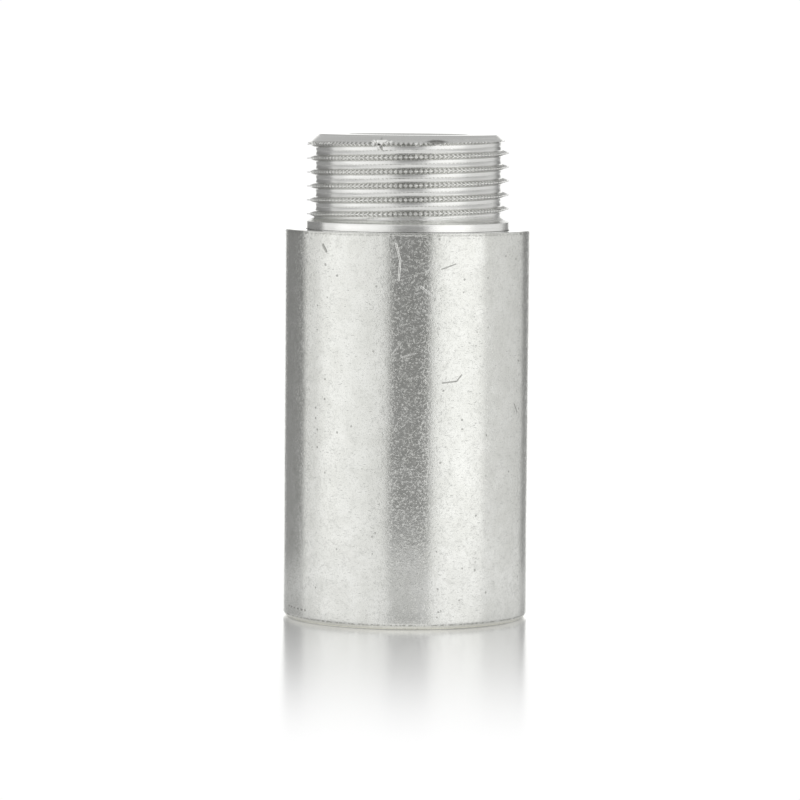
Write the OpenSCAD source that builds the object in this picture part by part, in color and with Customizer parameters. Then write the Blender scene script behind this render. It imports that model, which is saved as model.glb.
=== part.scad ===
// Extension fitting for a G 3/4 water line: a long round sleeve with a threaded socket at its foot, and
// a threaded nipple screwed into its head. The axis is Z and the foot stands on Z = 0.

/* [Sleeve] */
// Outside diameter of the sleeve
sleeve_od = 32; // [31:0.5:44]
// Length of the sleeve, which is what the fitting adds to a line
sleeve_length = 50.8; // [40:0.1:120]
// Bevel around the foot of the sleeve
foot_bevel = 0.5; // [0.2:0.05:0.8]
// Bevel around the head of the sleeve
head_bevel = 0.15; // [0.05:0.05:0.4]
// Depth of the threaded socket in the foot, its plain mouth included
socket_depth = 16; // [12:0.5:18]
// Depth of the plain mouth at each end of the sleeve
mouth_depth = 1.5; // [0.8:0.1:2.5]
// Radial play between a plain mouth and the thread that passes through it
mouth_play = 0.15; // [0.12:0.01:0.25]
// Radial depth of the plain chamber between the two threads, beyond the thread's major diameter
chamber_relief = 0.35; // [0.25:0.05:0.5]

/* [Nipple] */
// Height of the nipple's neck above the sleeve
neck_length = 12.4; // [10:0.1:18]
// Length of the nipple that is screwed into the sleeve
spigot_length = 13; // [10:0.5:16]
// Height of the plain land between the sleeve and the neck's thread
land_height = 1; // [0.8:0.1:3]
// Radial step from the land down to the crests of the nipple's threads
land_step = 0.03; // [0.02:0.01:0.1]
// Radial step from the crests down to the collar that seats on the floor of the sleeve's mouth
collar_step = 0.2; // [0.15:0.05:0.4]
// Height of the 45 degree lead at each end of the nipple
lead_height = 1.2; // [0.6:0.1:1.6]
// Diameter of the waterway through the nipple
waterway_d = 15.5; // [10:0.5:17]
// Bevel at each end of the waterway
waterway_bevel = 0.3; // [0.1:0.1:1]

/* [Thread] */
// Major diameter of the parallel pipe thread
thread_major = 26.441; // [25:0.001:28]
// Pitch of the pipe thread
thread_pitch = 1.814; // [1.7:0.001:2]
// Radial play between the spigot's thread and the sleeve's
thread_play = 0.1; // [0.06:0.01:0.15]
// Height above the land at which the neck's groove crosses the +X side
groove_start = 0.9; // [0:0.1:1.7]
// Width of the thin crest on the neck's thread
neck_crest = 0.22; // [0.14:0.02:0.3]
// Radius of the round groove on the neck's thread
neck_root = 0.55; // [0.4:0.05:0.6]
// Flats per turn on the neck's thread
neck_flats = 48; // [24:4:48]
// Flats per turn on the two threads inside the sleeve and on the spigot
joint_flats = 32; // [24:4:36]

/* [Hidden] */
$fn = 96;

// The 55 degree pipe thread's depth, crest width and root radius, as shares of its pitch
FORM_DEPTH = 0.6403;
FORM_CREST = 1 / 6;
FORM_ROOT = 0.1373;

// How far a cutting solid runs past what it cuts, and how much tapped thread lies below the spigot
OVERRUN = 1;
TAP_SPARE = 1;

thread_depth = FORM_DEPTH * thread_pitch;
major_r = thread_major / 2;
tapped_r = major_r + thread_play;
mouth_r = major_r + mouth_play;
chamber_r = major_r + chamber_relief;
land_r = major_r + land_step;
collar_r = major_r - collar_step;
sleeve_r = sleeve_od / 2;
waterway_r = waterway_d / 2;

nipple_foot = sleeve_length - spigot_length;
tap_foot = nipple_foot - TAP_SPARE;
mouth_floor = sleeve_length - mouth_depth;
land_top = sleeve_length + land_height;
nipple_top = sleeve_length + neck_length;

pipe_form = thread_form(FORM_CREST * thread_pitch, FORM_ROOT * thread_pitch);
neck_form = thread_form(neck_crest, neck_root);

// A thread's section over one pitch, as [height, depth below the crest] from the bottom of one groove
// to just before the next. Each flank runs from a crest's corner to where it touches the root circle.
function thread_form(crest, root) =
    let (
        centre = thread_depth - root,
        corner = (thread_pitch - crest) / 2,
        touch = atan2(centre, corner) - acos(root / norm([corner, centre])),
        low = (touch - 90) / 2,
        rise = [
            [0, thread_depth],
            [root * cos(low), centre - root * sin(low)],
            [root * cos(touch), centre - root * sin(touch)],
            [corner, 0]
        ]
    )
    concat(rise, [for (k = [3:-1:1]) [thread_pitch - rise[k][0], rise[k][1]]]);

// The triangles that close a rim of points onto one tip
function fan(rim, tip) = [for (k = [0:len(rim) - 1]) [rim[k], rim[(k + 1) % len(rim)], tip]];

function reversed(list) = [for (k = [len(list) - 1:-1:0]) list[k]];

// A right-hand threaded rod that is whole from low to high, with ragged ends beyond them. One of its
// grooves crosses the +X side at the height phase.
module threaded_rod(r, low, high, phase, form, flats) {
    start = phase - thread_pitch * ceil((phase - low) / thread_pitch + 1);
    last = flats * ceil((high - start) / thread_pitch);
    row = len(form);
    // The point j of column i. A column ends where the one a turn later begins.
    function at(i, j) = j < row ? i * row + j : (i + flats) * row;
    columns = [
        for (i = [0:last])
            for (s = form)
                let (angle = 360 * i / flats)
                [
                    (r - s[1]) * cos(angle),
                    (r - s[1]) * sin(angle),
                    start + thread_pitch * i / flats + s[0]
                ]
    ];
    skin = [
        for (i = [0:last - 1])
            for (j = [0:row - 1])
                if (j < row - 1 || i < last - flats)
                    for (t = [[at(i, j), at(i + 1, j + 1), at(i + 1, j)],
                              [at(i, j), at(i, j + 1), at(i + 1, j + 1)]])
                        t
    ];
    foot_rim = concat([for (i = [0:flats]) at(i, 0)], [for (j = [row - 1:-1:1]) at(0, j)]);
    head_rim = concat([for (j = [0:row - 1]) at(last, j)], [for (i = [1:flats]) at(last - i, row - 1)]);
    foot_tip = len(columns);
    tips = [[0, 0, start], [0, 0, start + thread_pitch * (last / flats + 1)]];
    polyhedron(
        points = concat(columns, tips),
        faces = concat(skin, fan(foot_rim, foot_tip), fan(reversed(head_rim), foot_tip + 1))
    );
}

// What a tap of the given length leaves open
module tapped(low, high, phase) {
    intersection() {
        threaded_rod(tapped_r, low, high, phase, pipe_form, joint_flats);
        plain(sleeve_r, low, high);
    }
}

// A plain cylinder between two heights
module plain(r, low, high) {
    translate([0, 0, low])
        cylinder(r = r, h = high - low);
}

// The waterway with its two bevels
module waterway() {
    flare = waterway_r + waterway_bevel + OVERRUN;
    rotate_extrude()
        polygon([
            [0, nipple_foot - OVERRUN],
            [flare, nipple_foot - OVERRUN],
            [waterway_r, nipple_foot + waterway_bevel],
            [waterway_r, nipple_top - waterway_bevel],
            [flare, nipple_top + OVERRUN],
            [0, nipple_top + OVERRUN]
        ]);
}

// The outline that a threaded length is turned to, with its 45 degree lead at the end given
module threaded_blank(plain_end, lead_end) {
    side = sign(lead_end - plain_end);
    rotate_extrude()
        polygon([
            [0, plain_end],
            [major_r + OVERRUN, plain_end],
            [major_r + OVERRUN, lead_end - side * (lead_height + OVERRUN)],
            [major_r - lead_height, lead_end],
            [0, lead_end]
        ]);
}

module extension_sleeve() {
    color("gainsboro")
        difference() {
            rotate_extrude()
                polygon([
                    [0, 0],
                    [sleeve_r - foot_bevel, 0],
                    [sleeve_r, foot_bevel],
                    [sleeve_r, sleeve_length - head_bevel],
                    [sleeve_r - head_bevel, sleeve_length],
                    [0, sleeve_length]
                ]);
            plain(mouth_r, -OVERRUN, mouth_depth);
            tapped(mouth_depth - OVERRUN, socket_depth + OVERRUN, mouth_depth);
            plain(chamber_r, socket_depth, tap_foot);
            tapped(tap_foot - OVERRUN, mouth_floor + OVERRUN, nipple_foot);
            plain(mouth_r, mouth_floor, sleeve_length + OVERRUN);
        }
}

module threaded_nipple() {
    color("silver")
        difference() {
            union() {
                intersection() {
                    threaded_rod(
                        major_r, land_top, nipple_top, land_top + groove_start, neck_form, neck_flats
                    );
                    threaded_blank(land_top, nipple_top);
                }
                plain(land_r, sleeve_length, land_top);
                plain(collar_r, mouth_floor, sleeve_length);
                intersection() {
                    threaded_rod(major_r, nipple_foot, mouth_floor, nipple_foot, pipe_form, joint_flats);
                    threaded_blank(mouth_floor, nipple_foot);
                }
            }
            waterway();
        }
}

extension_sleeve();
threaded_nipple();
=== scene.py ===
import math

import bmesh
import bpy
import numpy as np
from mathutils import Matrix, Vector


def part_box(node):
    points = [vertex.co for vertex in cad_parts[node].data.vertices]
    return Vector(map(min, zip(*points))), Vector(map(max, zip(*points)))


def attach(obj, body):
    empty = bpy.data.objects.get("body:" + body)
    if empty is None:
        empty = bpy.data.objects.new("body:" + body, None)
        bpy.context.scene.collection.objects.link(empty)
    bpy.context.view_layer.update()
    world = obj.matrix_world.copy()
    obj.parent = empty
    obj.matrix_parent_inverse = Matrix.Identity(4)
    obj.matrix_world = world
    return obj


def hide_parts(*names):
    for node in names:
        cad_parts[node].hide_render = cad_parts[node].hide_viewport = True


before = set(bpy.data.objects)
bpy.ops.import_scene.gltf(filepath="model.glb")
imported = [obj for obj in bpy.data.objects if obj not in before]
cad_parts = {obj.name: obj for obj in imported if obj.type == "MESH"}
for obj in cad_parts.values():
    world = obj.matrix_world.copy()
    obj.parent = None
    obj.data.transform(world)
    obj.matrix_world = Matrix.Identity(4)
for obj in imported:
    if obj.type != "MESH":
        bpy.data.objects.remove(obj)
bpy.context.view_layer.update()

MM = 0.001
TAU = 2 * math.pi
# two heights closer than this are the same
NEAR = 1e-6

# Sizes in millimetres. The ends of the two pieces come from the frame, the rest is the design's.
SLEEVE_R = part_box("extension_sleeve")[1].x / MM
SLEEVE_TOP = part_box("extension_sleeve")[1].z / MM
NIPPLE_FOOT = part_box("threaded_nipple")[0].z / MM
NIPPLE_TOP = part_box("threaded_nipple")[1].z / MM

PITCH = 1.814
MAJOR_R = 13.2205
DEPTH = 0.6403 * PITCH
PLAY = 0.1
MOUTH_R = MAJOR_R + 0.15
CHAMBER_R = MAJOR_R + 0.35
LAND_R = MAJOR_R + 0.03
COLLAR_R = MAJOR_R - 0.2
MOUTH_DEPTH = 1.5
SOCKET_DEPTH = 16.0
LAND_TOP = SLEEVE_TOP + 1.0
MOUTH_FLOOR = SLEEVE_TOP - MOUTH_DEPTH
TAP_FOOT = NIPPLE_FOOT - 1.0
LEAD = 1.2
WATERWAY_R = 7.75
WATERWAY_BEVEL = 0.3
FOOT_BEVEL = 0.5
NECK_START = LAND_TOP + 0.9
# beads left by chatter, in one turn of the thread
NOTCHES = 126
# how far the wall's mean stands inside the design's radius, so that no ripple passes the CAD box
WALL_INSET = 0.012
# the height whose wall the head's last rows follow
HEAD_WALL = SLEEVE_TOP - 0.4

# The neck's thread: distance from the crest's middle along Z, and the radius there. A thin fin stands on a
# broader crest, and the groove is a wide hollow.
NECK_FORM = (
    [0.045, 0.085, 0.17, 0.26, 0.34, 0.46, 0.81, PITCH / 2],
    [13.20, 12.83, 12.66, 12.47, 12.30, 12.15, 12.105, MAJOR_R - DEPTH],
)

FIN_WIDTH = 0.10
RUN_OUT_SLOPE = 2.2

# How far a bead stands out, by distance from the crest's middle
BEAD_FORM = ([0.04, 0.085, 0.17, 0.26, 0.34], [0.02, 0.06, 0.09, 0.06, 0])

# Flakes and dents on the neck's end lead: degrees right of the front, height, half width, half height,
# and the radius of the patch there
LEAD_MARKS = [
    (-15.3, 62.50, 1.20, 0.58, 12.90),
    (-20.6, 62.20, 0.50, 0.50, 12.50),
    (-17.5, 61.80, 0.60, 0.30, 13.10),
    (-10.5, 62.35, 0.35, 0.40, 12.60),
    (16.8, 62.20, 1.7, 0.35, 12.72),
    (5.0, 62.1, 0.7, 0.3, 12.98),
    (-121.0, 62.4, 1.4, 0.4, 12.80),
    (122.0, 62.3, 1.2, 0.5, 12.85),
    (171.0, 62.4, 1.6, 0.4, 12.60),
    (-140.0, 62.3, 1.3, 0.5, 12.95),
]


class Shell:
    """A closed surface made of rings of points around Z, in millimetres."""

    def __init__(self):
        self.verts = []
        self.faces = []

    def ring(self, sides, r, z):
        angle = TAU * np.arange(sides) / sides
        r = np.broadcast_to(np.asarray(r, float), (sides,))
        z = np.broadcast_to(np.asarray(z, float), (sides,))
        first = len(self.verts)
        self.verts.extend(zip(r * np.cos(angle), r * np.sin(angle), z))
        return list(range(first, first + sides))

    def face(self, *points):
        kept = [p for k, p in enumerate(points) if p != points[k - 1]]
        if len(kept) > 2:
            self.faces.append(kept)

    def join(self, a, b):
        """Fills between two rings. One may have a whole number of times as many points as the other."""
        if len(a) < len(b):
            a, b = b, a
        ratio = len(a) // len(b)
        for k in range(len(b)):
            run = [a[(k * ratio + s) % len(a)] for s in range(ratio + 1)]
            tip, other = b[k], b[(k + 1) % len(b)]
            middle = (ratio + 1) // 2
            for s in range(ratio):
                if ratio == 1:
                    self.face(run[0], run[1], other, tip)
                else:
                    self.face(run[s], run[s + 1], tip if s < middle else other)
            if ratio > 1:
                self.face(run[middle], other, tip)

    def lathe(self, ring, steps):
        """Carries a ring on through (points, radius, height) steps and returns the last ring."""
        for sides, r, z in steps:
            new = self.ring(sides, r, z)
            self.join(ring, new)
            ring = new
        return ring

    def thread(self, sides, low, high, start, rows, radius):
        """Fills a thread between two heights with rows that follow the helix. A groove crosses +X at start.
        rows are shares of the pitch from one groove's bottom, and radius(angle, z, share) gives the surface.
        It returns the rings at the two heights."""
        turn_rows = len(rows)
        foot = start - PITCH * math.ceil((start - low) / PITCH + 1)
        count = turn_rows * math.ceil((high - foot) / PITCH) + 1
        angle = TAU * np.arange(sides) / sides
        share = np.array([rows[j % turn_rows] for j in range(count)])
        turn = np.array([j // turn_rows for j in range(count)])
        z = foot + PITCH * (turn + share)[None, :] + PITCH * angle[:, None] / TAU
        r = radius(np.broadcast_to(angle[:, None], z.shape), z, np.broadcast_to(share[None, :], z.shape))
        ends = []
        for level in (low, high):
            at = ((level - start) / PITCH - angle / TAU) % 1
            ends.append(self.ring(sides, radius(angle, np.full(sides, level), at), level))
        index = np.empty(z.shape, int)
        for i in range(sides):
            for j in range(count):
                if z[i, j] <= low + NEAR:
                    index[i, j] = ends[0][i]
                elif z[i, j] >= high - NEAR:
                    index[i, j] = ends[1][i]
                else:
                    index[i, j] = len(self.verts)
                    self.verts.append(
                        (r[i, j] * math.cos(angle[i]), r[i, j] * math.sin(angle[i]), z[i, j])
                    )
        first = list(index[0, turn_rows:]) + [ends[1][0]] * turn_rows
        for i in range(sides):
            here = index[i]
            there = index[i + 1] if i < sides - 1 else first
            for j in range(count - 1):
                self.face(here[j], there[j], there[j + 1], here[j + 1])
        return ends

    def build(self, name, sharp_degrees):
        mesh = bpy.data.meshes.new(name)
        mesh.from_pydata([tuple(c * MM for c in v) for v in self.verts], [], self.faces)
        bm = bmesh.new()
        bm.from_mesh(mesh)
        bmesh.ops.recalc_face_normals(bm, faces=bm.faces)
        bm.to_mesh(mesh)
        bm.free()
        mesh.validate()
        mesh.polygons.foreach_set("use_smooth", [True] * len(mesh.polygons))
        mesh.set_sharp_from_angle(angle=math.radians(sharp_degrees))
        piece = bpy.data.objects.new(name, mesh)
        bpy.context.scene.collection.objects.link(piece)
        return piece


def wander(seed, size, low, high, strength=1.0):
    """A smooth periodic function of angle, made of waves between two counts a turn."""
    rng = np.random.default_rng(seed)
    counts = rng.integers(low, high + 1, size)
    phases = rng.uniform(0, TAU, size)
    heights = rng.normal(0, 1, size) / math.sqrt(size)
    return lambda angle: strength * sum(
        h * np.sin(c * angle + p) for h, c, p in zip(heights, counts, phases)
    )


def pipe_form(share):
    """How deep the standard 55 degree form is below its crest, from one groove's bottom to the next."""
    return np.interp(
        share,
        [0, 0.063, 0.122, 0.4167, 0.5833, 0.878, 0.937, 1],
        [DEPTH, DEPTH * 0.965, DEPTH * 0.884, 0, 0, DEPTH * 0.884, DEPTH * 0.965, DEPTH],
    )


PIPE_ROWS = [0, 0.063, 0.122, 0.27, 0.4167, 0.5833, 0.73, 0.878, 0.937]
FINE_ROWS = [0, 0.063, 0.122, 0.2, 0.28, 0.36, 0.4167, 0.46, 0.54, 0.5833, 0.64, 0.72, 0.8, 0.878, 0.937]


def threaded_nipple():
    shell = Shell()
    fine, coarse = 6 * NOTCHES, NOTCHES
    notch_size = wander(3, 24, 20, 160, 0.30)
    notch_fade = wander(4, 10, 2, 9, 0.5)
    ragged = wander(5, 40, 12, 160, 0.06)
    crest_sway = wander(7, 20, 8, 90, 0.03)

    def neck(angle, z, share):
        off = np.abs(share - 0.5) * PITCH
        along = angle + TAU * np.round((z - NECK_START) / PITCH - share)
        r = np.interp(off, NECK_FORM[0], NECK_FORM[1])
        fin = np.clip((FIN_WIDTH - off) / 0.05, 0, 1)
        r = r - fin * np.clip(0.05 + 0.10 * notch_size(along * 1.37) + 0.05 * notch_fade(along), 0, 0.3)
        beads = np.clip(1 + 0.5 * notch_size(along * 1.13) + 0.5 * notch_fade(along), 0.3, 1.5)
        beads = beads * np.interp(off, BEAD_FORM[0], BEAD_FORM[1])
        beads = beads * np.clip((z - LAND_TOP - 0.35) / 0.2, 0, 1)
        sway = (1 - fin) * np.clip(0.42 - off, 0, 0.3) * crest_sway(along * 1.11)
        r = r + beads * np.cos(NOTCHES * angle) + sway
        r = np.maximum(r, LAND_R - 0.02 - RUN_OUT_SLOPE * (z - LAND_TOP))
        down = NIPPLE_TOP - z
        lead = MAJOR_R - LEAD + down + ragged(angle) * np.clip(down - 0.25, 0, 1)
        lead = np.minimum(lead, MAJOR_R - LEAD - 0.25 + 1.1 * down)
        r = np.minimum(r, lead)
        # above this limit no groove cuts the lead
        limit = 1.0 - 0.25 * np.cos(angle) + 1.5 * ragged(angle)
        r = r + (lead - r) * np.clip((limit - down) / 0.04, 0, 1)
        for at, height, half_width, half_height, level in LEAD_MARKS:
            across = ((angle - math.radians(270 + at) + math.pi) % TAU - math.pi) * MAJOR_R
            inside = 1 - np.abs(across) / half_width - np.abs(z - height) / half_height
            r = r + (level - 0.15 * (z - height) - r) * np.clip(inside * 5, 0, 1)
        return np.minimum(r, LAND_R - 0.005)

    def spigot(angle, z, share):
        return np.minimum(MAJOR_R - pipe_form(share), MAJOR_R - LEAD + (z - NIPPLE_FOOT))

    neck_rows = [0] + [0.5 - x / PITCH for x in reversed(NECK_FORM[0][:-1])]
    neck_rows += [1 - s for s in reversed(neck_rows[1:])]

    bore_foot = shell.ring(coarse, WATERWAY_R + WATERWAY_BEVEL, NIPPLE_FOOT)
    low, high = shell.thread(coarse, NIPPLE_FOOT, MOUTH_FLOOR, NIPPLE_FOOT, PIPE_ROWS, spigot)
    shell.join(bore_foot, low)
    collar = ((COLLAR_R, MOUTH_FLOOR), (COLLAR_R, SLEEVE_TOP), (LAND_R - 0.04, SLEEVE_TOP))
    ring = shell.lathe(high, [(coarse, r, z) for r, z in collar])
    edge = wander(11, 20, 8, 80, 0.015)
    angle = TAU * np.arange(fine) / fine
    land = (SLEEVE_TOP + 0.04, SLEEVE_TOP + 0.5, SLEEVE_TOP + 0.90 + edge(angle))
    ring = shell.lathe(ring, [(fine, LAND_R, z) for z in land])
    low, high = shell.thread(fine, LAND_TOP, NIPPLE_TOP - 0.05, NECK_START, neck_rows, neck)
    shell.join(ring, low)
    steps = [
        (fine, MAJOR_R - LEAD - 0.25, NIPPLE_TOP),
        (coarse, (MAJOR_R - LEAD + WATERWAY_R) / 2, NIPPLE_TOP),
        (coarse, WATERWAY_R + WATERWAY_BEVEL, NIPPLE_TOP),
        (coarse, WATERWAY_R, NIPPLE_TOP - WATERWAY_BEVEL),
        (coarse, WATERWAY_R, (NIPPLE_TOP + NIPPLE_FOOT) / 2),
        (coarse, WATERWAY_R, NIPPLE_FOOT + WATERWAY_BEVEL),
    ]
    shell.join(shell.lathe(high, steps), bore_foot)
    return shell.build("nipple", 40)


def extension_sleeve():
    shell = Shell()
    fine, coarse = 720, 180
    angle = TAU * np.arange(fine) / fine
    rng = np.random.default_rng(21)
    dents = [
        (rng.uniform(0, TAU), rng.uniform(3, SLEEVE_TOP - 3), rng.uniform(0.7, 2.2), rng.uniform(0.008, 0.03))
        for _ in range(60)
    ]
    sway = [wander(30 + k, 8, 2, 14, 0.010) for k in range(6)]

    def wall(z):
        r = np.full(fine, SLEEVE_R)
        for at, height, size, depth in dents:
            across = ((angle - at + math.pi) % TAU - math.pi) * SLEEVE_R
            r = r - depth * np.exp(-(across**2 + (z - height) ** 2) / size**2)
        share = z / SLEEVE_TOP * (len(sway) - 1)
        k = min(int(share), len(sway) - 2)
        wave = (k + 1 - share) * sway[k](angle) + (share - k) * sway[k + 1](angle)
        return r - WALL_INSET + np.clip(wave, -0.02, WALL_INSET)

    nick = wander(41, 60, 20, 230, 0.04)
    burr = wander(43, 40, 10, 180, 0.035)

    def tapped(angle, z, share):
        return MAJOR_R + PLAY - pipe_form(share)

    mouth = shell.ring(coarse, MOUTH_R + 0.05, 0)
    ring = shell.ring(fine, SLEEVE_R - FOOT_BEVEL + 0.12, 0)
    shell.join(mouth, ring)
    rise = FOOT_BEVEL + np.clip(nick(angle), -0.08, 0.08)
    rows = [(wall(0.25) - FOOT_BEVEL + 0.20, 0.06), (wall(0.25) - FOOT_BEVEL * 0.5 + 0.07, FOOT_BEVEL * 0.46)]
    rows += [(wall(0.4) - 0.09, rise - 0.03), (wall(0.5) - 0.02, rise + 0.07), (wall(0.8), rise + 0.3)]
    rows += [(wall(z), z) for z in np.linspace(1.6, SLEEVE_TOP - 1.4, 52)]
    fall = SLEEVE_TOP - 0.30 + np.clip(burr(angle), -0.08, 0.08)
    middle = fall.mean()
    rows += [(wall(middle - 0.3), fall - 0.25), (wall(middle), fall), (wall(middle) - 0.03, fall + 0.09)]
    rows += [(wall(HEAD_WALL) - 0.025, SLEEVE_TOP - 0.07), (wall(HEAD_WALL) - 0.10, SLEEVE_TOP)]
    ring = shell.lathe(ring, [(fine, r, z) for r, z in rows])
    head_mouth = ((MOUTH_R + 0.04, SLEEVE_TOP), (MOUTH_R, SLEEVE_TOP - 0.04), (MOUTH_R, MOUTH_FLOOR))
    ring = shell.lathe(ring, [(coarse, r, z) for r, z in head_mouth])
    low, high = shell.thread(coarse, TAP_FOOT, MOUTH_FLOOR, NIPPLE_FOOT, PIPE_ROWS, tapped)
    shell.join(ring, high)
    ring = shell.lathe(low, [(coarse, CHAMBER_R, TAP_FOOT), (coarse, CHAMBER_R, SOCKET_DEPTH)])
    low, high = shell.thread(coarse, MOUTH_DEPTH, SOCKET_DEPTH, MOUTH_DEPTH, FINE_ROWS, tapped)
    shell.join(ring, high)
    ring = shell.lathe(low, [(coarse, MOUTH_R, MOUTH_DEPTH), (coarse, MOUTH_R, 0.05)])
    shell.join(ring, mouth)
    return shell.build("sleeve", 40)


class Nodes:
    """A short way to write a material's nodes. The functions below call theirs n."""

    def __init__(self, tree):
        self.tree = tree
        tree.nodes.clear()

    def add(self, kind, inputs=None, **settings):
        node = self.tree.nodes.new(kind)
        for key, value in settings.items():
            setattr(node, key, value)
        for key, value in (inputs or {}).items():
            if isinstance(value, bpy.types.NodeSocket):
                self.tree.links.new(value, node.inputs[key])
            else:
                node.inputs[key].default_value = value
        return node

    def math(self, operation, a, b=0.0, clamp=False):
        return self.add("ShaderNodeMath", {0: a, 1: b}, operation=operation, use_clamp=clamp).outputs[0]

    def times(self, a, b, clamp=False):
        return self.math("MULTIPLY", a, b, clamp)

    def plus(self, a, b):
        return self.math("ADD", a, b)

    def minus(self, a, b, clamp=False):
        return self.math("SUBTRACT", a, b, clamp)

    def apart(self, a, b):
        """How far apart two values are."""
        return self.math("ABSOLUTE", self.minus(a, b))

    def length(self, vector):
        return self.add("ShaderNodeVectorMath", {0: vector}, operation="LENGTH").outputs["Value"]

    def vector(self, operation, a, b):
        return self.add("ShaderNodeVectorMath", {0: a, 1: b}, operation=operation).outputs[0]

    def noise(self, vector, scale, detail=4.0, rough=0.6, distortion=0.0):
        return self.add(
            "ShaderNodeTexNoise",
            {
                "Vector": vector,
                "Scale": scale,
                "Detail": detail,
                "Roughness": rough,
                "Distortion": distortion,
            },
        ).outputs[0]

    def remap(self, value, low, high, to_low=0.0, to_high=1.0):
        return self.add(
            "ShaderNodeMapRange",
            {"Value": value, "From Min": low, "From Max": high, "To Min": to_low, "To Max": to_high},
            interpolation_type="SMOOTHSTEP",
        ).outputs[0]

    def mix(self, factor, a, b):
        node = self.add("ShaderNodeMix", {"Factor": factor}, data_type="RGBA")
        for socket, value in ((node.inputs[6], a), (node.inputs[7], b)):
            if isinstance(value, bpy.types.NodeSocket):
                self.tree.links.new(value, socket)
            else:
                socket.default_value = value
        return node.outputs[2]

    def place(self):
        """The surface point in millimetres."""
        coord = self.add("ShaderNodeTexCoord").outputs["Object"]
        scale = self.add("ShaderNodeVectorMath", {0: coord, "Scale": 1000.0}, operation="SCALE")
        return scale.outputs[0]

    def unrolled(self, place, radius):
        """The surface laid flat: across in x from the front, height in y, both in millimetres."""
        part = self.add("ShaderNodeSeparateXYZ", {0: place})
        angle = self.math("ARCTAN2", part.outputs[0], self.times(part.outputs[1], -1.0))
        across = self.times(angle, radius)
        return self.add("ShaderNodeCombineXYZ", {0: across, 1: part.outputs[2]}).outputs[0], part.outputs[2]


def material(name):
    made = bpy.data.materials.new(name)
    made.use_nodes = True
    return made, Nodes(made.node_tree)


def finish_metal(n, color, rough, height, depth):
    """Ends the material, with a relief of this depth in millimetres. Faces that look straight up or down are
    smoother, as a cut-off tool leaves them."""
    normal = n.add("ShaderNodeSeparateXYZ", {0: n.add("ShaderNodeNewGeometry").outputs["Normal"]}).outputs[2]
    end_face = n.remap(n.math("ABSOLUTE", normal), 0.85, 0.97)
    rough = n.times(rough, n.minus(1.0, n.times(end_face, 0.75)))
    height = n.times(height, n.minus(1.0, n.times(end_face, 0.85)))
    bump = n.add("ShaderNodeBump", {"Height": height, "Distance": depth * MM, "Strength": 1.0})
    surface = n.add(
        "ShaderNodeBsdfPrincipled",
        {"Base Color": color, "Roughness": rough, "Metallic": 1.0, "Normal": bump.outputs[0]},
    )
    n.add("ShaderNodeOutputMaterial", {"Surface": surface.outputs[0]})


def scratch_layer(n, flat, turn, length, width, density, seed):
    """Short straight marks in one direction, as the thin middles of long noise cells."""
    moved = n.add(
        "ShaderNodeMapping",
        {
            "Vector": flat,
            "Location": (seed * 3.7, seed * 1.9, 0),
            "Rotation": (0, 0, turn),
            "Scale": (1 / length, 1 / width, 1),
        },
    ).outputs[0]
    cells = n.add("ShaderNodeTexVoronoi", {"Vector": moved, "Scale": 1.0, "Randomness": 1.0}, feature="F1")
    chance = n.add("ShaderNodeSeparateColor", {0: cells.outputs["Color"]}).outputs[0]
    picked = n.math("LESS_THAN", chance, density)
    return n.times(n.remap(cells.outputs["Distance"], 0.16, 0.05), picked)


# The scratches on the barrel that stand out: points (across, height) in millimetres, then the width
BRIGHT_MARKS = [
    ([(-1.5, 49.5), (-0.94, 47.3), (-1.12, 44.8)], 0.12),
    ([(2.35, 45.6), (3.28, 46.9)], 0.09),
    ([(1.81, 43.95), (3.24, 42.8)], 0.14),
    ([(-1.94, 35.3), (-0.99, 36.5)], 0.08),
    ([(-0.57, 35.0), (1.01, 35.5)], 0.10),
]
DARK_MARKS = [
    ([(4.63, 31.7), (6.6, 31.9), (7.3, 32.7)], 0.10),
    ([(4.43, 46.25), (6.35, 46.9)], 0.08),
    ([(-12.0, 49.1), (-11.4, 48.3)], 0.20),
    ([(17.1, 28.5), (17.85, 27.4)], 0.10),
    ([(-20.4, 1.76), (-15.05, 1.61)], 0.15),
    ([(23.0, 38.0), (27.2, 33.1)], 0.10),
]


def scratch_lines(n, flat, marks):
    """The marks in a list, each drawn as the distance to its line."""
    drawn = 0.0
    for points, width in marks:
        for (ax, ay), (bx, by) in zip(points, points[1:]):
            along = (bx - ax, by - ay, 0)
            start = n.vector("SUBTRACT", flat, (ax, ay, 0))
            dot = n.add("ShaderNodeVectorMath", {0: start, 1: along}, operation="DOT_PRODUCT")
            share = n.times(dot.outputs["Value"], 1 / (along[0] ** 2 + along[1] ** 2), clamp=True)
            foot = n.add("ShaderNodeVectorMath", {0: along, "Scale": share}, operation="SCALE").outputs[0]
            gap = n.add("ShaderNodeVectorMath", {0: start, 1: foot}, operation="DISTANCE").outputs["Value"]
            line = n.minus(2.0, n.times(gap, 2 / width), clamp=True)
            drawn = n.math("MAXIMUM", drawn, line)
    return drawn


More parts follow.
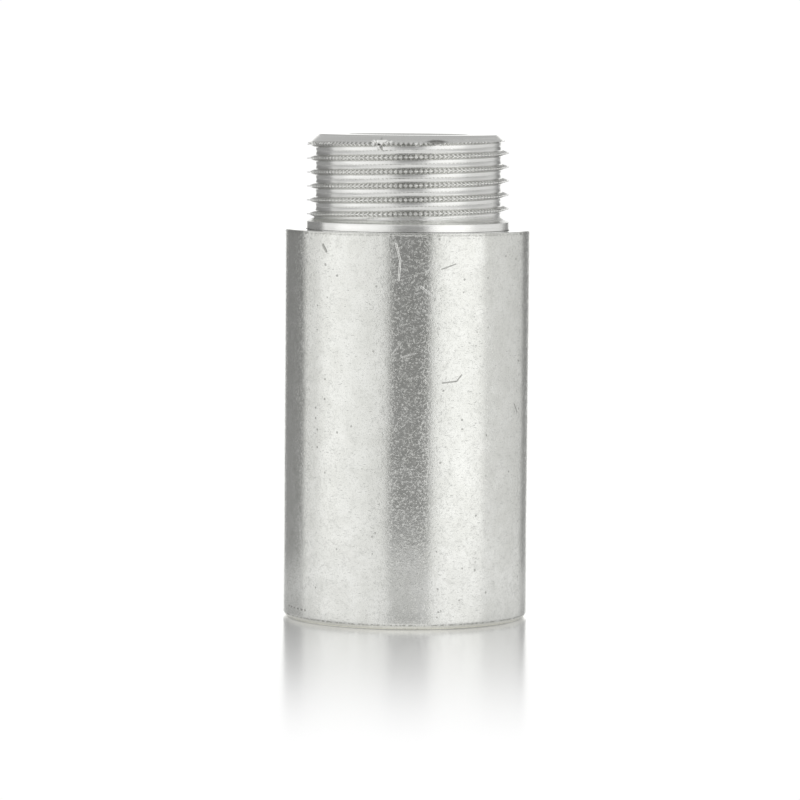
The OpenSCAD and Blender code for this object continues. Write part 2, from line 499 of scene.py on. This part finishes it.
BARREL_TONES = {
    "dull": (0.80, 0.805, 0.775, 1),
    "clean": (0.87, 0.875, 0.85, 1),
    "clouded": (0.66, 0.665, 0.64, 1),
    "grainy": (0.55, 0.555, 0.54, 1),
    "scuffed": (0.95, 0.95, 0.93, 1),
    "bright mark": (0.97, 0.97, 0.95, 1),
    "dark mark": (0.34, 0.34, 0.32, 1),
    "pit": (0.30, 0.30, 0.28, 1),
    # painted highlight on the foot's bevel
    "foot bevel highlight": (0.90, 0.89, 0.80, 1),
    "dark edge": (0.33, 0.33, 0.30, 1),
}
NECK_TONES = {
    "clean": (0.90, 0.905, 0.89, 1),
    "bright": (0.95, 0.955, 0.94, 1),
    "turned": (0.70, 0.70, 0.69, 1),
    "grainy": (0.60, 0.60, 0.59, 1),
    # painted shade between the crest's beads
    "painted shade between beads": (0.50, 0.50, 0.48, 1),
    "groove": (0.86, 0.86, 0.85, 1),
    # painted shadow on the lead, where the thread's groove begins
    "smear_and_shadow": (0.22, 0.22, 0.21, 1),
    # the polished land's tone, also the painted highlight on the crest's beads
    "polished_and_bead_highlight": (1.0, 1.0, 0.99, 1),
}


def barrel_metal():
    made, n = material("tumbled_barrel_metal")
    place = n.place()
    flat, height = n.unrolled(place, SLEEVE_R)
    flakes = n.noise(place, 3.6, 3.0, 0.65, 0.6)
    chips = n.noise(place, 2.2, 3.0, 0.7, 0.9)
    grain = n.noise(place, 9.0, 2.0, 0.6)
    patches = n.noise(place, 0.35, 4.0, 0.6)
    cloud = n.noise(place, 1.1, 4.0, 0.65, 0.4)
    streaks = None
    for k, (turn, length, width) in enumerate(
        ((0.35, 1.6, 0.16), (1.25, 1.2, 0.14), (2.15, 1.9, 0.16), (2.75, 1.1, 0.13))
    ):
        layer = scratch_layer(n, flat, turn, length, width, 0.22, k + 1)
        streaks = layer if streaks is None else n.math("MAXIMUM", streaks, layer)
    bright = scratch_lines(n, flat, BRIGHT_MARKS)
    dark = scratch_lines(n, flat, DARK_MARKS)
    across = n.add("ShaderNodeSeparateXYZ", {0: flat}).outputs[0]
    # the mark near the foot is broken into dashes
    dashes = n.remap(n.math("SINE", n.times(across, 6.6)), -0.5, 0.3)
    dark = n.times(dark, n.math("MAXIMUM", dashes, n.math("GREATER_THAN", height, 3.0)))
    pits = n.add("ShaderNodeTexVoronoi", {"Vector": place, "Scale": 0.9}, feature="F1")
    pit_chance = n.add("ShaderNodeSeparateColor", {0: pits.outputs["Color"]}).outputs[1]
    pit_pick = n.math("LESS_THAN", pit_chance, 0.22)
    pit = n.times(n.remap(pits.outputs["Distance"], 0.16, 0.07), pit_pick)
    near_foot = n.remap(n.apart(height, FOOT_BEVEL + 0.04), 0.17, 0.04)
    near_head = n.remap(n.apart(height, SLEEVE_TOP - 0.27), 0.22, 0.05, 0.0, 0.5)
    edge = n.times(n.math("MAXIMUM", near_foot, near_head), n.remap(chips, 0.42, 0.58))

    tone = n.mix(n.remap(patches, 0.35, 0.68), BARREL_TONES["dull"], BARREL_TONES["clean"])
    tone = n.mix(n.times(n.remap(cloud, 0.5, 0.72), 0.55), tone, BARREL_TONES["clouded"])
    tone = n.mix(n.times(n.remap(grain, 0.50, 0.72), 0.62), tone, BARREL_TONES["grainy"])
    tone = n.mix(n.times(streaks, 0.22), tone, BARREL_TONES["scuffed"])
    tone = n.mix(n.times(bright, 0.6), tone, BARREL_TONES["bright mark"])
    tone = n.mix(n.times(dark, 0.75), tone, BARREL_TONES["dark mark"])
    tone = n.mix(n.times(pit, 0.55), tone, BARREL_TONES["pit"])
    # painted highlight: the band of the foot's bevel is lighter
    tone = n.mix(n.remap(height, 0.50, 0.38, 0.0, 0.6), tone, BARREL_TONES["foot bevel highlight"])
    tone = n.mix(n.times(edge, 0.65), tone, BARREL_TONES["dark edge"])

    rough = n.plus(n.remap(flakes, 0.3, 0.7, 0.05, 0.10), n.times(streaks, 0.05))
    rough = n.plus(rough, n.times(patches, 0.03))

    rise = n.times(flakes, 0.16)
    rise = n.plus(rise, n.times(n.remap(flakes, 0.54, 0.70), 0.15))
    rise = n.minus(rise, n.times(n.remap(chips, 0.56, 0.70), 0.20))
    rise = n.plus(rise, n.times(grain, 0.12))
    rise = n.plus(rise, n.times(cloud, 0.12))
    rise = n.minus(rise, n.times(streaks, 0.55))
    rise = n.minus(rise, n.times(n.math("MAXIMUM", bright, dark), 0.9))
    rise = n.minus(rise, n.times(pit, 0.8))
    finish_metal(n, tone, rough, rise, 0.045)
    return made


def neck_metal():
    made, n = material("turned_neck_metal")
    place = n.place()
    flat, height = n.unrolled(place, MAJOR_R)
    # turning marks: fine rings that wander a little round the piece
    rings = n.add("ShaderNodeMapping", {"Vector": place, "Scale": (0.10, 0.10, 9.0)}).outputs[0]
    turning = n.noise(rings, 1.0, 4.0, 0.65)
    flattened = n.add("ShaderNodeMapping", {"Vector": place, "Scale": (0.6, 0.6, 2.6)}).outputs[0]
    # a streaked noise for roughness and relief only; the painted shadow on the lead uses the tone of the same
    # name
    smear_and_shadow = n.noise(flattened, 1.0, 3.0, 0.6)
    grain = n.noise(place, 7.0, 2.0, 0.6)
    cloud = n.noise(place, 0.9, 3.0, 0.6)
    tone = n.mix(n.remap(cloud, 0.35, 0.65), NECK_TONES["clean"], NECK_TONES["bright"])
    tone = n.mix(n.times(n.remap(turning, 0.45, 0.7), 0.35), tone, NECK_TONES["turned"])
    tone = n.mix(n.times(n.remap(grain, 0.56, 0.76), 0.4), tone, NECK_TONES["grainy"])
    part = n.add("ShaderNodeSeparateXYZ", {0: place})
    turn = n.math("ARCTAN2", part.outputs[1], part.outputs[0])
    # turns of the thread from its start; a crest's middle is at a fraction of one half
    helix = n.minus(n.times(n.minus(height, NECK_START), 1 / PITCH), n.times(turn, 1 / TAU))
    off = n.math("ABSOLUTE", n.minus(n.math("FRACT", helix), 0.5))
    # painted highlight and shade: a bright spot on each bead's floor, dark between the beads
    bead_highlight = n.math("POWER", n.times(off, PITCH / 0.25), 2.0)
    bead_highlight = n.minus(n.math("COSINE", n.times(turn, float(NOTCHES))), bead_highlight)
    bead_highlight = n.remap(bead_highlight, -0.75, 0.0)
    crest = n.remap(off, 0.37 / PITCH, 0.29 / PITCH)
    crest = n.times(crest, n.remap(height, NECK_START - 0.45, NECK_START - 0.25))
    crest = n.times(crest, n.remap(height, NIPPLE_TOP - 0.8, NIPPLE_TOP - 1.05))
    # the thread's colours stay on the outside, off the waterway's wall
    reach = n.length(n.vector("MULTIPLY", place, (1, 1, 0)))
    outside = n.remap(reach, 10.0, 11.0)
    crest = n.times(crest, outside)
    # the crest gets the painted bead highlights and the painted shade between them
    beads = n.mix(bead_highlight, NECK_TONES["painted shade between beads"], NECK_TONES["polished_and_bead_highlight"])
    tone = n.mix(crest, tone, beads)
    groove = n.times(n.remap(off, 0.34 / PITCH, 0.44 / PITCH), n.remap(off, 0.88 / PITCH, 0.82 / PITCH))
    groove = n.times(groove, n.remap(height, LAND_TOP + 0.2, LAND_TOP + 0.5))
    groove = n.times(groove, outside)
    tone = n.mix(n.times(groove, 0.85), tone, NECK_TONES["groove"])
    land = n.remap(height, LAND_TOP + 0.03, LAND_TOP - 0.03)
    tone = n.mix(n.times(land, 0.8), tone, NECK_TONES["polished_and_bead_highlight"])
    # painted shadow: a dark patch on the lead, right of the front, where the thread's groove begins under the
    # end's bevel
    shadow_spot = n.vector("SUBTRACT", flat, (3.85, NIPPLE_TOP - 0.85, 0))
    shadow_spot = n.length(n.vector("MULTIPLY", shadow_spot, (0.55, 2.6, 0)))
    shadow_spot = n.remap(n.plus(shadow_spot, n.times(grain, 0.6)), 1.35, 0.7)
    tone = n.mix(n.times(shadow_spot, 0.9), tone, NECK_TONES["smear_and_shadow"])
    rough = n.plus(n.remap(turning, 0.3, 0.7, 0.09, 0.17), n.times(smear_and_shadow, 0.05))
    rough = n.plus(rough, n.times(n.times(crest, bead_highlight), 0.22))
    ramp = n.times(n.remap(height, LAND_TOP + 0.7, LAND_TOP + 0.5), n.minus(1.0, land))
    rough = n.plus(rough, n.times(ramp, 0.25))
    rise = n.plus(n.times(turning, 0.9), n.times(grain, 0.12))
    rise = n.plus(rise, n.times(smear_and_shadow, 0.35))
    finish_metal(n, tone, rough, rise, 0.022)
    return made


nipple = threaded_nipple()
nipple.data.materials.append(neck_metal())
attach(nipple, "root")
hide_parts("threaded_nipple")

sleeve = extension_sleeve()
sleeve.data.materials.append(barrel_metal())
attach(sleeve, "root")
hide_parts("extension_sleeve")


# The table's mirror weakens and its surface turns clear between these distances from the axis, in millimetres
MIRROR_NEAR = 16.0
MIRROR_FAR = 120.0
MIRROR_SHARE = 0.84
CLEAR_NEAR = 45.0
CLEAR_FAR = 150.0


def floor():
    """A white glossy table that mirrors the fitting. Away from it the mirror fades to plain white and then to
    clear, and from below the table is clear."""
    mesh = bpy.data.meshes.new("table")
    reach = 0.25
    corners = [(-reach, -reach, 0), (reach, -reach, 0), (reach, reach, 0), (-reach, reach, 0)]
    mesh.from_pydata(corners, [], [(0, 1, 2, 3)])
    table = bpy.data.objects.new("table", mesh)
    # just under the foot, so that the two never share a surface
    table.location.z = -0.00005
    bpy.context.scene.collection.objects.link(table)
    made, n = material("white_table")
    place = n.place()
    part = n.add("ShaderNodeSeparateXYZ", {0: place})
    across = n.add("ShaderNodeCombineXYZ", {0: part.outputs[0], 1: part.outputs[1]}).outputs[0]
    away = n.length(across)
    mirror_share = n.add(
        "ShaderNodeMapRange",
        {
            "Value": away,
            "From Min": MIRROR_NEAR,
            "From Max": MIRROR_FAR,
            "To Min": MIRROR_SHARE,
            "To Max": 0.0,
        },
        interpolation_type="LINEAR",
    ).outputs[0]
    white = n.add("ShaderNodeEmission", {"Color": (1, 1, 1, 1), "Strength": 1.02}).outputs[0]
    mirror = n.add("ShaderNodeBsdfGlossy", {"Color": (0.96, 0.96, 0.96, 1), "Roughness": 0.17}).outputs[0]
    clear = n.add("ShaderNodeBsdfTransparent").outputs[0]
    top = n.add("ShaderNodeMixShader", {0: mirror_share, 1: white, 2: mirror}).outputs[0]
    facing = n.add("ShaderNodeNewGeometry").outputs["Backfacing"]
    behind = n.math("MAXIMUM", part.outputs[1], 0.0)
    hidden = n.math("MAXIMUM", facing, n.remap(n.plus(away, behind), CLEAR_NEAR, CLEAR_FAR))
    both = n.add("ShaderNodeMixShader", {0: hidden, 1: top, 2: clear}).outputs[0]
    n.add("ShaderNodeOutputMaterial", {"Surface": both})
    table.data.materials.append(made)


def studio():
    """The room that the metal reflects: broad soft light left and right of a dark gap at the front. The
    camera itself sees only white."""
    world = bpy.data.worlds.new("studio")
    bpy.context.scene.world = world
    world.use_nodes = True
    n = Nodes(world.node_tree)
    direction = n.add("ShaderNodeTexCoord").outputs["Generated"]
    part = n.add("ShaderNodeSeparateXYZ", {0: direction})
    angle = n.math("ARCTAN2", part.outputs[0], n.times(part.outputs[1], -1.0))
    share = n.plus(n.times(angle, 1 / TAU), 0.5)
    ramp = n.add("ShaderNodeValToRGB", {0: share})
    # degrees right of the front, brightness
    stops = [
        (-180, 1.25), (-166, 1.25), (-164, 0.24), (-115.2, 0.24), (-110.4, 0.78), (-93, 0.80), (-87, 0.98),
        (-76, 1.06), (-56, 1.00), (-34, 0.89), (-19.5, 0.80), (-14.3, 0.26), (20, 0.25), (25, 0.92),
        (38, 1.10), (53, 1.15), (75, 1.09), (80, 0.75), (100, 0.74), (138, 0.67), (143, 0.26),
        (164, 0.26), (166, 1.25), (180, 1.25),
    ]
    elements = ramp.color_ramp.elements
    while len(elements) > 1:
        elements.remove(elements[0])
    elements[0].position = 0
    for k, (degrees, level) in enumerate(stops):
        spot = elements[0] if k == 0 else elements.new((degrees + 180) / 360)
        spot.color = (level, level, level * 0.985, 1)
    overhead = n.remap(part.outputs[2], 0.10, 0.36)
    ceiling = n.mix(n.remap(part.outputs[1], -0.85, 0.05), (0.80, 0.80, 0.79, 1), (0.50, 0.50, 0.495, 1))
    low_glow = n.remap(part.outputs[2], -0.04, -0.12, 0.0, 0.12)
    low_band = n.mix(overhead, n.mix(low_glow, ramp.outputs[0], (1, 1, 1, 1)), ceiling)
    seen = n.add("ShaderNodeLightPath").outputs["Is Camera Ray"]
    color = n.mix(seen, low_band, (1.02, 1.02, 1.02, 1))
    back = n.add("ShaderNodeBackground", {"Color": color, "Strength": 1.0}).outputs[0]
    n.add("ShaderNodeOutputWorld", {"Surface": back})


def camera():
    data = bpy.data.cameras.new("camera")
    cam = bpy.data.objects.new("camera", data)
    bpy.context.scene.collection.objects.link(cam)
    # a long lens, in front of the fitting and a little above its top, with a slight roll
    data.lens = 195.9
    data.sensor_width = 36
    data.clip_start, data.clip_end = 0.01, 20
    spot = Vector((-0.00083, -0.570, 0.071))
    aim = Vector((-0.00083, 0, 0.02834))
    cam.location = spot
    cam.rotation_euler = (aim - spot).to_track_quat("-Z", "Y").to_euler()
    cam.rotation_euler.rotate_axis("Z", math.radians(0.47))
    bpy.context.scene.camera = cam


floor()
studio()
camera()
bpy.context.scene.view_settings.view_transform = "Standard"
